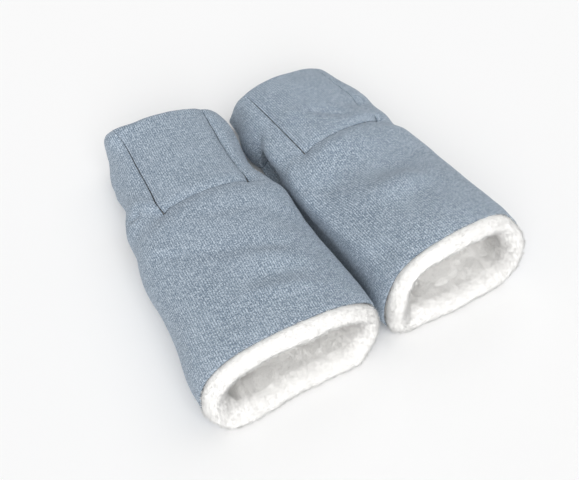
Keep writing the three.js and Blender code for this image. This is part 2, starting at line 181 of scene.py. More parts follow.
# Half of the cross-section as [x, z], for w from 0 at the middle of the underside to 4 at the top
def halfSection(size, w, boxed):
    halfWidth, widest, top, crownHalf, crownSeam, flatHalf, floor = size.values()
    turn = np.clip(w - 1, 0, 1) * math.pi / 2
    lowX = np.where(w <= 1, flatHalf * w, mix(flatHalf, halfWidth, np.sin(turn)))
    lowZ = mix(widest, floor, np.cos(turn))
    lift = np.clip(w - 2, 0, 2) * math.pi / 4
    roundX = halfWidth * np.maximum(np.cos(lift), 0) ** form["roundPower"]
    roundZ = mix(widest, top, np.sin(lift) ** form["roundPower"])
    t = np.clip(w - 2, 0, 1)
    knee = mix(widest, crownSeam, form["kneeShare"])
    sideX = mix(halfWidth, crownHalf, t * t)
    sideZ = mix(mix(widest, knee, t), mix(knee, crownSeam, t), t)
    share = np.clip(4 - w, 0, 1)
    boxX = np.where(w > 3, crownHalf * share, sideX)
    boxZ = np.where(w > 3, mix(top, crownSeam, share * share), sideZ)
    x = np.where(w <= 2, lowX, mix(roundX, boxX, boxed))
    z = np.where(w <= 2, lowZ, mix(roundZ, boxZ, boxed))
    return x, z


def flapEdge(muff, q):
    s = np.clip(q, 0, slot["start"])
    widest = sectionSizes(muff, s, 0)["widest"]
    lip = np.arccos(1 - slot["bottom"] / widest) / (math.pi / 2)
    return 1 + lip * s / slot["start"]


def lowerEdge(muff, q):
    return np.where(q >= flap["slit"], 1.0, flapEdge(muff, q))


# A point of the wall, depth below its outer face. q is the distance from the head end, or from -1 to 0
# on the turn of the head end, where the section closes on the hinge line.
def wallPoints(muff, q, v, depth, hingeLine=flap["upperHingeLine"]):
    q, v, depth = np.broadcast_arrays(np.asarray(q, float), np.asarray(v, float), np.asarray(depth, float))
    turn = np.clip(1 + q, 0, 1) * math.pi / 2
    radius = np.maximum(form["endRadius"] - depth, form["endRadius"] / 4)
    s = np.where(q < 0, depth + radius * (1 - np.cos(turn)), q)
    opened = np.where(q < 0, np.sin(turn), 1.0)
    w = upTheSide(v)
    left = np.where((v > 4) | (v < 0), -1.0, 1.0)
    x, z = halfSection(sectionSizes(muff, s, depth), w, boxedAt(s))
    rounded = 1 - (1 - opened) ** form["endCornerPower"]
    low = lowerEdge(muff, q)
    share = np.where(w < low, w / low, np.where(w > 3, 4 - w, 1.0))
    px = left * mix(form["hingeHalfWidth"] * share, x, rounded)
    pz = mix(hingeLine, z, opened)
    return np.stack([px, -s, pz], -1)


# How far the mouth stands forward at v, and places along a wall that follow it
def mouthAt(muff, v):
    knots = np.array(muff["mouth"])
    v = np.asarray(v, float) % 8
    k = np.floor(v).astype(int)
    t = v - k
    before, here, after, beyond = (knots[(k + n) % 8] for n in (-1, 0, 1, 2))
    bend = 2 * before - 5 * here + 4 * after - beyond + t * (3 * (here - after) + beyond - before)
    return here + 0.5 * t * (after - before + t * bend)


def mouthed(muff, q, v):
    return q + mouthAt(muff, v) * smooth(q, mouthFrom, cuffEdge)


def noiseAt(points, scale, seed):
    flat = points.reshape(-1, 3) / scale
    values = [noise.noise(Vector((p[0] + seed, p[1] - seed, p[2] + 2 * seed))) for p in flat]
    return np.array(values).reshape(points.shape[:-1])


# Noise of a kind that sizes holds, such as its lump and lumpScale
def lumpsOf(muff, points, sizes, kind, more=0):
    return sizes[kind] * noiseAt(points, sizes[kind + "Scale"], muff["seed"] + more)


# How far the outer face of the wall stands out at a place, from padding, seams, folds and dents
reliefSizes = {
    "seamDip": 0.0015, "seamWidth": 0.0052, "crossDip": 0.0026, "crossWidth": 0.0052,
    "seamFade": 0.012, "slotDip": 0.0022, "slotWidth": 0.009, "cuffDip": 0.0006, "cuffWidth": 0.010,
    "lump": 0.0009, "lumpScale": 0.034, "crinkle": 0.00035, "crinkleScale": 0.011,
    "pucker": 0.0004, "puckerScale": 0.0045, "puckerWidth": 0.007,
}


def reliefAt(muff, q, v):
    r = reliefSizes
    q, v = np.broadcast_arrays(np.asarray(q, float), np.asarray(v, float))
    s = np.where(q < 0, (1 + q) * form["endRadius"], q)
    w = upTheSide(v)
    across = grain["cellAcross"]
    onTop = np.ones_like(s) * smooth(w, 1.0, 1.6)
    toSeam = np.abs(w - 3) * across
    inHead = 1 - smooth(s, form["headLength"], form["headLength"] + r["seamFade"])
    seamDeep = muff["seamDeep"] * (0.3 + 0.7 * smooth(s, 0.010, 0.040))  # shallow at the head end
    out = -r["seamDip"] * seamDeep * bell(toSeam, r["seamWidth"]) * inHead
    inCrown = smooth(w, 2.85, 3.05)
    toCross = np.abs(s - form["headLength"])
    out -= r["crossDip"] * bell(toCross, r["crossWidth"]) * inCrown
    place = np.stack([s, v * across, np.zeros_like(s)], -1)
    nearSeam = np.maximum(bell(toSeam, r["puckerWidth"]) * inHead,
                          bell(toCross, r["puckerWidth"]) * inCrown)
    out += r["pucker"] * nearSeam * noiseAt(place, r["puckerScale"], muff["seed"])
    # the padding is drawn in round a slot's sewn edge
    z = halfSection(sectionSizes(muff, s, 0), w, 1.0)[1]
    beyond = np.maximum(np.maximum(slot["start"] - s, s - slot["end"]), z - slot["top"])
    slotDip = -r["slotDip"] * bell(np.maximum(beyond, 0), r["slotWidth"]) * smooth(w, 1.2, 1.8)
    out += slotDip * np.where(v > 4, muff["slotDips"][1], muff["slotDips"][0])
    out -= r["cuffDip"] * bell(form["length"] - s, r["cuffWidth"])
    out += lumpsOf(muff, place, r, "lump", 5)
    out += lumpsOf(muff, place, r, "crinkle", 9)
    for startS, startV, endS, endV, width, height in folds[muff["name"]]:
        a = np.array([startS, startV * across])
        line = np.array([endS, endV * across]) - a
        t = np.clip(((s - a[0]) * line[0] + (v * across - a[1]) * line[1]) / (line @ line), 0, 1)
        away = np.hypot(s - a[0] - t * line[0], v * across - a[1] - t * line[1])
        taper = np.minimum(1, 0.35 + 2.6 * t * (1 - t))
        out += height * taper * bell(away, width)
    for atS, atV, reach, wide, height in bulges[muff["name"]]:
        out += height * bell(np.hypot((s - atS) / reach, (v - atV) * across / wide), 1)
    flat = np.where(q < 0, smooth(1 + q, 0, 0.4), 1)  # flat by the hinge, clear of the opened flap
    return out * onTop * flat


# Rings along the muff, from one place to another, with those that must be there
def ringsBetween(start, end, must=(), step=None):
    step = step or grain["ring"]
    stops = sorted({start, end, *[m for m in must if start < m < end]})
    rings = [start]
    for a, b in zip(stops, stops[1:]):
        count = max(1, round((b - a) / step))
        rings += [a + (b - a) * i / count for i in range(1, count + 1)]
    return rings


# Rings on the turn of the head end, from the hinge line on
endRings = [i / grain["endSteps"] - 1 for i in range(grain["endSteps"])]


def ringAt(rings, place):
    return int(np.argmin([abs(ring - place) for ring in rings]))


# Quads of a grid that closes on itself both ways
def ringFaces(rows, around):
    index = np.arange(rows * around).reshape(rows, around)
    after = np.roll(index, -1, 1)
    return np.stack([index, after, np.roll(after, -1, 0), np.roll(index, -1, 0)], -1).reshape(-1, 4)


# A grid of wall points to quads. keep says which cells are there.
def gridMesh(points, keep):
    rows, columns = points.shape[:2]
    index = np.arange(rows * columns).reshape(rows, columns)
    return points.reshape(-1, 3), [
        (index[i, j], index[i, j + 1], index[i + 1, j + 1], index[i + 1, j])
        for i in range(rows - 1) for j in range(columns - 1) if keep is None or keep(i, j)]


def addObject(name, data):
    made = bpy.data.objects.new(name, data)
    bpy.context.scene.collection.objects.link(made)
    return made


def newObject(muff, title, points, faces, uv=None):
    mesh = bpy.data.meshes.new(muff["name"] + title)
    mesh.from_pydata([tuple(p) for p in points], [], [tuple(int(k) for k in f) for f in faces])
    if uv is not None:
        layer = mesh.uv_layers.new(name="weave")
        corner = np.zeros(len(mesh.loops), np.int32)
        mesh.loops.foreach_get("vertex_index", corner)
        layer.data.foreach_set("uv", np.asarray(uv, float).reshape(-1, 2)[corner].ravel())
    mesh.transform(muff["place"])
    mesh.update()
    return addObject(muff["name"] + title, mesh)


# Cloth coordinates in metres: across from the middle line, and along the wall
def clothCoordinates(points):
    middle = points.shape[1] // 2
    step = np.linalg.norm(np.diff(points, axis=1), axis=2)
    across = np.concatenate([np.zeros((len(points), 1)), np.cumsum(step, 1)], 1)
    across -= across[:, middle:middle + 1]
    alongStep = np.linalg.norm(np.diff(points[:, middle], axis=0), axis=1)
    along = np.concatenate([[0], np.cumsum(alongStep)])
    return np.stack([across, np.repeat(along[:, None], points.shape[1], 1)], -1)


def openMesh(made, weld):
    bm = bmesh.new()
    bm.from_mesh(made.data)
    bmesh.ops.delete(bm, geom=[v for v in bm.verts if not v.link_faces], context="VERTS")
    bmesh.ops.remove_doubles(bm, verts=bm.verts, dist=weld)
    return bm


def closeMesh(made, bm):
    for f in bm.faces:
        f.smooth = True
    bm.to_mesh(made.data)
    bm.free()


# Turns the free edges of a cloth in: a quarter round, then a drop into the wall.
# turnAt gives (radius, drop) for a place in the muff's own frame.
def turnEdges(made, turnAt, toMuff):
    steps = grain["turnSteps"]
    bm = openMesh(made, 0.00005)
    bm.normal_update()
    uvLayer = bm.loops.layers.uv.active
    edges = [e for e in bm.edges if e.is_boundary]
    outward = {}
    for e in edges:
        face = e.link_faces[0]
        a, b = e.verts
        side = (b.co - a.co).cross(face.normal)
        if side.dot(face.calc_center_median() - (a.co + b.co) / 2) > 0:
            side = -side
        for vert in (a, b):
            outward.setdefault(vert, []).append(side.normalized())
    rows = {}
    for vert, sides in outward.items():
        total = sum(sides, Vector())
        if total.length < 1e-6:
            total = sides[0].copy()
        out = total.normalized()
        out /= max(0.6, out.dot(sides[0]))
        inward = -vert.normal
        radius, drop = turnAt(toMuff @ vert.co)
        turned = [vert]
        if radius > 0:
            for k in range(1, steps + 1):
                angle = math.pi / 2 * k / steps
                turned.append(bm.verts.new(
                    vert.co + out * radius * math.sin(angle) + inward * radius * (1 - math.cos(angle))))
            turned.append(bm.verts.new(turned[-1].co + inward * drop))
        rows[vert] = turned
    for e in edges:
        face = e.link_faces[0]
        loop = next(lp for lp in face.loops if lp.edge == e)
        a, b = loop.vert, loop.link_loop_next.vert
        rowA, rowB = rows[a], rows[b]
        uvA, uvB = loop[uvLayer].uv.copy(), loop.link_loop_next[uvLayer].uv.copy()
        for k in range(min(len(rowA), len(rowB)) - 1):
            turnedFace = bm.faces.new((rowB[k], rowA[k], rowA[k + 1], rowB[k + 1]))
            # the cloth coordinates go on over the turned edge, by the distance from where it starts
            for lp, uv in zip(turnedFace.loops, (uvB, uvA, uvA, uvB)):
                away = min((lp.vert.co - rowA[0].co).length, (lp.vert.co - rowB[0].co).length)
                lp[uvLayer].uv = uv + Vector((away, away * 0.5))
    bm.normal_update()
    closeMesh(made, bm)


def placeOn(made, body, slotName, *nodes):
    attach(made, body)
    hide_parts(*nodes)
    return made


# A piece of cloth on a grid of wall points, with its edges turned in
def clothPiece(muff, title, points, keep, turnAt, body, node):
    points[..., 2] = np.maximum(points[..., 2], grain["clearance"])
    made = newObject(muff, title, *gridMesh(points, keep), clothCoordinates(points))
    turnEdges(made, turnAt, muff["place"].inverted())
    solid = made.modifiers.new("thickness", "SOLIDIFY")
    solid.thickness = layers["cloth"]
    solid.offset = -1
    solid.use_even_offset = False
    return placeOn(made, muff["name"] + body, "outer_cloth", muff["name"] + node)


def spread(a, b, count, last=0):
    return a + (b - a) * np.arange(count + last) / count


# v of the line that the slot's top follows, margin outside the slot
def slotLine(muff, q, margin):
    corner = slot["corner"] + margin
    start, end, top = slot["start"] - margin, slot["end"] + margin, slot["top"] + margin
    z = top - corner
    if start <= q <= end:
        past = max(start + corner - q, q - (end - corner), 0)
        z += math.sqrt(max(corner ** 2 - past ** 2, 0))
    s = np.float64(max(q, 0.02))
    ws = np.linspace(2, 3, 60)
    zs = halfSection(sectionSizes(muff, s, 0), ws, boxedAt(s))[1]
    return float(np.interp(z, zs, ws))


columnCounts = {"low": 18, "side": 16, "crown": 16}
firstCrown = columnCounts["low"] + columnCounts["side"]


seamInset = seam["edgeRadius"] + seam["halfGap"]
crossInset = seam["crossRadius"] + seam["halfGap"]


# An edge is turned in more roundly beside a slot than in a seam
def edgeRadiusAt(s):
    return mix(seam["edgeRadius"], slot["edgeRadius"],
               smooth(s, slot["start"] - 5 * slot["edgeRadius"], slot["start"] - slot["edgeRadius"]))


# The net of the sides and top: its rings, the lines across each ring from the right lower edge over the
# top to the left one, and which cells it keeps round the slots and the crown
def coverNet(muff, margin, seamGap, crossGap, lowGapAt, ends, first, step):
    slotStart, slotEnd = slot["start"] - margin, slot["end"] + margin
    corner = slot["corner"] + margin
    crossing = form["headLength"] + crossGap
    corners = [slotStart + corner * (1 - math.cos(a * math.pi / 12)) for a in range(1, 7)]
    corners += [slotStart + slotEnd - c for c in corners]
    rings = endRings[first:] + ringsBetween(form["endRadius"] + (0.006 if first else 0), ends,
                                            [slotStart, slotEnd, crossing, *corners], step)
    gapShare = seamGap / form["crownHalfWidth"]

    def linesOf(q):
        low = float(lowerEdge(muff, np.float64(q))) + lowGapAt(q) / grain["cellAcross"]
        top = slotLine(muff, q, margin)
        right = np.concatenate([
            spread(low, top, columnCounts["low"]),
            spread(top, 3 - gapShare, columnCounts["side"], 1),
            3 + gapShare + (1 - gapShare) * np.arange(columnCounts["crown"]) / columnCounts["crown"],
        ])
        return np.concatenate([right, [4.0], (8 - right)[::-1]])

    lines = np.array([linesOf(q) for q in rings])
    columns = lines.shape[1]
    sleeveFrom = ringAt(rings, crossing)
    slotFrom, slotTo = ringAt(rings, slotStart), ringAt(rings, slotEnd)

    def keep(i, j):
        if firstCrown <= j < columns - 1 - firstCrown:
            return i >= sleeveFrom
        low = j < columnCounts["low"] or j >= columns - 1 - columnCounts["low"]
        return not (low and slotFrom <= i < slotTo)

    return np.array(rings)[:, None], lines, keep


def buildCover(muff):
    edge = slot["edgeRadius"]
    q, lines, keep = coverNet(
        muff, edge, seamInset, crossInset,
        lambda s: edgeRadiusAt(s) if s < flap["slit"] else seam["edgeRadius"], cuffEdge, 0, None)
    q = mouthed(muff, q, lines)
    points = wallPoints(muff, q, lines, -reliefAt(muff, q, lines))

    def turnAt(p):
        s = -p.y
        low = p.z < near["low"]
        if s < near["hinge"] and low:
            return 0, 0
        if slot["start"] - 2 * edge < s < slot["end"] + 2 * edge and abs(p.x) > near["side"]:
            return mix(seam["edgeRadius"], edge, smooth(p.z, 0.002, slot["bottom"])), slot["facing"]
        if abs(s - form["headLength"]) < near["cross"] and p.z > near["top"] and \
                abs(p.x) < form["crownHalfWidth"] - near["crown"]:
            return seam["crossRadius"], seam["allowance"]
        return (edgeRadiusAt(s) if low and s < flap["slit"] else seam["edgeRadius"]), seam["allowance"]

    return clothPiece(muff, "_sleeve_and_sides", points, keep, turnAt, "_muff", "_upper_shell")


# Even lines across each of the rings
def evenNet(rings, start, end, count):
    return np.array(rings)[:, None], np.repeat(np.linspace(start, end, count)[None], len(rings), 0)


def buildCrown(muff):
    end = form["headLength"] - crossInset
    inset = seamInset / form["crownHalfWidth"]
    q, lines = evenNet(endRings + ringsBetween(form["endRadius"], end), 3 + inset, 5 - inset,
                       2 * columnCounts["crown"] + 1)
    points = wallPoints(muff, q, lines, -reliefAt(muff, q, lines))

    def turnAt(p):
        if -p.y < near["hinge"] and p.z < near["low"]:
            return 0, 0
        crossing = -p.y > end - near["end"] and abs(p.x) < form["crownHalfWidth"] - near["crown"]
        return seam["crossRadius" if crossing else "edgeRadius"], seam["allowance"]

    return clothPiece(muff, "_crown_strip", points, None, turnAt, "_muff", "_crown_panel")


# Plain closed sheet between two depths, for wadding and lining
def closedSheet(points, inner, keep, loop=False):
    rows, columns = points.shape[:2]
    count = rows * columns
    index = np.arange(count).reshape(rows, columns)
    cells = columns if loop else columns - 1
    kept = [(i, j) for i in range(rows - 1) for j in range(cells) if keep is None or keep(i, j)]
    there = set(kept)
    faces = []
    for i, j in kept:
        k = (j + 1) % columns
        corners = (index[i, j], index[i, k], index[i + 1, k], index[i + 1, j])
        faces += [corners, tuple(c + count for c in corners[::-1])]
        for n, (row, column) in enumerate([(i - 1, j), (i, j + 1), (i + 1, j), (i, j - 1)]):
            if (row, column % cells if loop else column) not in there:
                a, b = corners[n], corners[(n + 1) % 4]
                faces.append((b, a, a + count, b + count))
    return np.concatenate([points.reshape(-1, 3), inner.reshape(-1, 3)]), faces


def tidyMesh(made):
    bm = openMesh(made, 0.00002)
    bmesh.ops.dissolve_degenerate(bm, edges=bm.edges, dist=0.00001)
    closeMesh(made, bm)
    return made


# The sleeve's underside, lifted at the slit over the flap's tongue
def buildUnder(muff):
    q, lines = evenNet(ringsBetween(flap["slit"] + seamInset, cuffEdge, [], grain["underRing"]),
                       -1, 1, grain["underLines"])
    lines = lines * (1 - seamInset / form["crownHalfWidth"])
    q = mouthed(muff, q, lines)
    lift = flap["underLift"] * (1 - smooth(q, flap["tongueEnd"], flap["rampEnd"]))
    points = wallPoints(muff, q, lines, lift + grain["clearance"], 0)
    return clothPiece(muff, "_underside", points, None, lambda p: (seam["edgeRadius"], seam["allowance"]),
                      "_muff", "_under_panel")


flapCounts = {"lip": 10, "tongue": 23}


# The flap's rings and the lines across them: its lips, which turn up to the slots, stand outside its tongue
def flapNet(muff, rings, gapAt):
    share = flap["tongueShare"]

    def linesOf(q):
        low = float(flapEdge(muff, np.float64(q))) - gapAt(q) / grain["cellAcross"]
        lip = spread(share, low, flapCounts["lip"], 1)
        return np.concatenate([-lip[::-1], np.linspace(-share, share, flapCounts["tongue"])[1:-1], lip])

    return np.array(rings)[:, None], np.array([linesOf(q) for q in rings])


def buildFlap(muff):
    slit = flap["slit"]
    edge = seam["edgeRadius"]
    rings = endRings + ringsBetween(form["endRadius"], slit + flap["overlap"] - edge, [slit - edge])
    q, lines = flapNet(muff, rings, edgeRadiusAt)
    lift = flap["tongueLift"] * smooth(q, slit - flap["ramp"], slit)
    swell = bell(q - flap["swellAt"], flap["swellReach"])
    lift = lift - muff["lipSwell"] * swell * smooth(-lines, flap["tongueShare"], 1.15)
    points = wallPoints(muff, q, lines, lift + grain["clearance"], flap["hingeLine"])
    tongueFrom = ringAt(rings, slit - edge)
    lip = flapCounts["lip"]

    def keep(i, j):
        return i < tongueFrom or lip <= j < lines.shape[1] - 1 - lip

    def turnAt(p):
        s = -p.y
        if s < near["hinge"]:
            return 0, 0
        if abs(p.x) > form["flatShare"] * form["headHalfWidth"] * 0.9 and s < slit - 2 * edge:
            return edgeRadiusAt(s), mix(seam["allowance"], slot["facing"], smooth(s, 0.066, 0.078))
        return edge, 0.0004

    return clothPiece(muff, "_flap", points, keep, turnAt, "_flap", "_flap_shell")


# Wadding: closed sheets that stand back from the turned edges
wad = {"seamGap": 0.0026, "slotGap": 0.0052, "step": 0.006, "endStep": 0.005, "fluff": 0.0004,
       "fluffScale": 0.007, "fluffWay": (0.5, 0.4, 0.75), "lines": 21,
       "cornerEnd": 0.012, "cornerRelief": 0.0015}
padEnd = flap["slit"] - flap["ramp"] - 0.0016


# The padding follows the cloth, but not out into the corners of the head's end
def paddingRelief(muff, q, v):
    relief = reliefAt(muff, q, v)
    return np.where(q < wad["cornerEnd"], np.minimum(relief, wad["cornerRelief"]), relief)


def padBetween(muff, title, net, keep, hingeLine, lift, body, node):
    q, lines = net
    q = mouthed(muff, q, lines)
    lift = lift - paddingRelief(muff, q, lines)
    sides = []
    for layer in ("waddingOuter", "waddingInner"):
        points = wallPoints(muff, q, lines, layers[layer] + lift, hingeLine)
        sides.append(points + lumpsOf(muff, points, wad, "fluff")[..., None] * np.array(wad["fluffWay"]))
    made = tidyMesh(newObject(muff, title, *closedSheet(*sides, keep)))
    placeOn(made, muff["name"] + body, "wadding", muff["name"] + node)
    return made


def buildUpperWadding(muff):
    q, lines, keep = coverNet(muff, wad["slotGap"], wad["seamGap"], wad["seamGap"],
                              lambda s: wad["seamGap"] + 0.001, form["length"] - 0.002, 2, wad["step"])
    return padBetween(muff, "_upper_padding", (q, lines), keep, flap["upperHingeLine"], 0, "_muff",
                      "_upper_wadding")


def buildCrownWadding(muff):
    gap = wad["seamGap"] / form["crownHalfWidth"]
    end = form["headLength"] - wad["seamGap"]
    rings = endRings[2:] + ringsBetween(form["endRadius"], end, [], wad["endStep"])
    return padBetween(muff, "_crown_padding", evenNet(rings, 3 + gap, 5 - gap, wad["lines"]), None,
                      flap["upperHingeLine"], 0, "_muff", "_crown_wadding")


def buildUnderWadding(muff):
    gap = wad["seamGap"]
    share = 1 - gap / form["crownHalfWidth"]
    rings = ringsBetween(flap["rampEnd"] + gap, form["length"] - gap, [], wad["step"])
    return padBetween(muff, "_underside_padding", evenNet(rings, -share, share, wad["lines"]), None, 0, 0,
                      "_muff", "_under_wadding")


def buildFlapWadding(muff):
    rings = endRings[2:] + ringsBetween(form["endRadius"], padEnd, [], wad["endStep"])
    return padBetween(muff, "_flap_padding", flapNet(muff, rings, lambda s: 0.003 + edgeRadiusAt(s)), None,
                      flap["hingeLine"], grain["clearance"], "_flap", "_flap_wadding")


# Pile: short thick strands that lean together in tufts, each a closed three-sided thread
pile = {"length": 0.0026, "radius": 0.00017, "lean": 0.6, "clump": 0.0030, "gather": 0.2, "sink": 0.0006}
strandFaces = [(0, 1, 4, 3), (1, 2, 5, 4), (2, 0, 3, 5), (2, 1, 0), (3, 4, 6), (4, 5, 6), (5, 3, 6)]
strandTips = [0.1, 0.1, 0.1, 0.65, 0.65, 0.65, 1.0]  # how near each of its points is to the tip


def unit(vectors):
    return vectors / (np.linalg.norm(vectors, axis=1)[:, None] + 1e-9)


def strandsOn(roots, normals, flow, lengths, rng):
    count = len(roots)
    sway = rng.normal(size=(count, 3))
    sway -= (sway * normals).sum(1)[:, None] * normals
    sway = unit(sway)
    direction = unit(normals + pile["lean"] * sway * rng.random((count, 1)) + flow)
    tips = roots + direction * lengths[:, None]
    # tips gather on the middle of their tuft
    cell = np.floor(roots / pile["clump"]).astype(int)
    tuft = np.unique(cell, axis=0, return_inverse=True)[1].ravel()
    total = np.zeros((tuft.max() + 1, 3))
    np.add.at(total, tuft, tips)
    middle = total / np.bincount(tuft)[:, None]
    tips = mix(tips, middle[tuft], pile["gather"])
    start = roots - normals * pile["sink"]
    bend = mix(start, tips, 0.55) + normals * lengths[:, None] * 0.1
    axis = unit(tips - start)
    first = unit(np.cross(axis, sway + 1e-3))
    second = np.cross(axis, first)
    corners = [(math.cos(a), math.sin(a)) for a in (0, 2 * math.pi / 3, 4 * math.pi / 3)]
    rings = [place + thick * pile["radius"] * (c * first + s * second)
             for place, thick in ((start, 1), (bend, 0.75)) for c, s in corners]
    return np.stack([*rings, tips], 1).reshape(-1, 3)


def gridNormals(points, loop):
    around = np.roll(points, -1, 1) - np.roll(points, 1, 1) if loop else np.gradient(points, axis=1)
    along = np.gradient(points, axis=0)
    normal = np.cross(around, along)
    return normal / (np.linalg.norm(normal, axis=2)[..., None] + 1e-12)


# Random places on a grid, as many as its area and a wanted density ask for
def scatterOn(points, normals, density, rng, loop):
    rows, columns = points.shape[:2]
    columnsAfter = np.roll(points, -1, 1) if loop else points[:, 1:]
    here = points if loop else points[:, :-1]
    across = np.linalg.norm((columnsAfter - here)[:-1], axis=2)
    along = np.linalg.norm(here[1:] - here[:-1], axis=2)
    wanted = across * along * density[:-1, :across.shape[1]]
    total = int(wanted.sum())
    chosen = rng.choice(wanted.size, size=total, p=(wanted / wanted.sum()).ravel())
    i, j = np.unravel_index(chosen, wanted.shape)
    k = (j + 1) % columns
    a, b = rng.random((2, total, 1))

    def at(grid):
        return mix(mix(grid[i, j], grid[i, k], a), mix(grid[i + 1, j], grid[i + 1, k], a), b)

    normal = at(normals)
    return at(points), normal / np.linalg.norm(normal, axis=1)[:, None]


# A base surface and the strands on it in one mesh. The strands stand on grid, as look says.
def pilePiece(muff, title, basePoints, baseFaces, grid, normals, density, loop, look, body, node):
    rng = np.random.default_rng(int(muff["seed"]) * 7 + look["draw"])
    roots, rootNormals = scatterOn(grid, normals, density, rng, loop)
    lengths = pile["length"] * (look["shortest"] + look["longer"] * rng.random(len(roots)))
    strands = strandsOn(roots, rootNormals, np.array(look["flow"]), lengths, rng)
    size, offset = len(strandTips), len(basePoints)
    starts = offset + size * np.arange(len(roots))[:, None]
    faces = [tuple(f) for f in baseFaces]
    for shape in strandFaces:
        faces += [tuple(f) for f in (starts + np.array(shape)).tolist()]
    everything = np.concatenate([basePoints, strands])
    everything[:, 2] = np.maximum(everything[:, 2], grain["clearance"])
    made = newObject(muff, title, everything, faces)
    # the share sets the pile's colour: painted shade darkens it towards the strands' roots and on the
    # ground beneath them
    shares = np.concatenate([np.full(offset, 0.35), np.tile(strandTips, len(roots))]).astype(np.float32)
    made.data.attributes.new("pileRootShadeToTip", "FLOAT", "POINT").data.foreach_set("value", shares)
    made.data.polygons.foreach_set("use_smooth", [True] * len(made.data.polygons))
    # a strand takes its light as the ground that it stands on does, so the pile looks soft
    facing = np.zeros(len(everything) * 3)
    made.data.vertices.foreach_get("normal", facing)
    facing = facing.reshape(-1, 3)
    turned = np.repeat(rootNormals, size, 0) @ np.array(muff["place"].to_3x3()).T
    facing[offset:] = mix(facing[offset:], turned, 0.85)
    made.data.normals_split_custom_set_from_vertices(facing.tolist())
    return placeOn(made, muff["name"] + body, "fur_pile", muff["name"] + node)


rollSizes = {
    "outerHalf": 0.0084, "innerHalf": 0.0090, "middle": 0.0088, "reach": 0.0140, "pinch": 0.30,
    "slimAt": 5, "plumpAt": 6.4, "girthReach": 0.9, "skirtAt": 1.28 * math.pi, "skirtReach": 0.42,
    "skirt": 0.022, "start": 0.2965, "around": 300, "rows": 36, "sway": 0.0018, "swayScale": 1.3,
    "lump": 0.0010, "lumpScale": 0.0060, "wave": 0.0016, "waveScale": 0.022, "density": 0.80e6,
    "draw": 1, "flow": (0, 0.15, -0.12), "shortest": 0.55, "longer": 0.6,
}


def buildRoll(muff):
    r = rollSizes
    around = 8 * np.arange(r["around"]) / r["around"]
    turn = np.linspace(0, 2 * math.pi, r["rows"], endpoint=False)
    # the front half of the section is round, the back half nearly flat
    # and pinched where the cloth's edge lies over it
    swell = 1 - r["pinch"] * (1 - smooth(np.sin(turn), 0, 0.45))
    half = np.where(np.cos(turn) > 0, r["outerHalf"] * swell, r["innerHalf"])[:, None]
    girth = 1 - muff["slim"] * bell(around - r["slimAt"], r["girthReach"])
    inward = -np.cos(turn) * np.maximum(np.cos(turn - 1.05 * math.pi), 0)
    inward = np.where(np.cos(turn) > 0, 0, inward)[:, None]
    girth = girth + muff["plump"] * inward * bell(around - r["plumpAt"], r["girthReach"])
    depth = r["middle"] - half * np.cos(turn)[:, None] * girth
    rise = np.sin(turn)[:, None]
    skirt = r["skirt"] * bell(turn - r["skirtAt"], r["skirtReach"])[:, None]
    ahead = np.where(rise > 0, r["reach"] * rise, 0.0015 * rise) - skirt + mouthAt(muff, around)
    # the mouth isn't a clean oval: it swells and sags a little from place to place
    spots = [Vector((r["swayScale"] * math.cos(a), r["swayScale"] * math.sin(a), muff["seed"]))
             for a in around * math.pi / 4]
    sway = r["sway"] * np.array([noise.noise(spot) for spot in spots])
    sway = sway * smooth(upTheSide(around), 1, 2)
    ring = np.full((r["rows"], 1), form["length"])
    place = wallPoints(muff, ring, around[None], depth - sway[None], 0)
    place[..., 1] = -(r["start"] + ahead)
    normals = gridNormals(np.concatenate([place, place[:1]], 0), True)[:-1]
    normals *= np.sign((normals * (place - place.mean(0, keepdims=True))).sum(2).mean())
    lumps = lumpsOf(muff, place, r, "lump") + lumpsOf(muff, place, r, "wave", 4)
    front = np.where(turn < math.pi / 2, smooth(np.sin(turn), -0.1, 0.3),
                     1 - smooth(turn, 1.10 * math.pi, 1.32 * math.pi))[:, None]
    place = place + normals * (lumps * front)[..., None]
    place[..., 2] = np.maximum(place[..., 2], 2 * grain["clearance"])
    closed, closedNormals, closedFront = (np.concatenate([x, x[:1]], 0) for x in (place, normals, front))
    made = pilePiece(muff, "_cuff_pile", place.reshape(-1, 3), ringFaces(r["rows"], r["around"]), closed,
                     closedNormals, np.repeat(closedFront, r["around"], 1) * r["density"], True, r,
                     "_muff", "_cuff_roll")
    return made


liningSizes = {"lump": 0.0017, "lumpScale": 0.0085, "wave": 0.0016, "waveScale": 0.026, "step": 0.0045,
               "end": 0.3005, "dip": 0.0040, "dipFrom": 0.284, "density": 0.45e6, "gap": 0.0005,
               "seamGap": 0.0004, "floorCount": 12,
               "draw": 2, "flow": (0, -0.2, -0.1), "shortest": 0.5, "longer": 0.5}


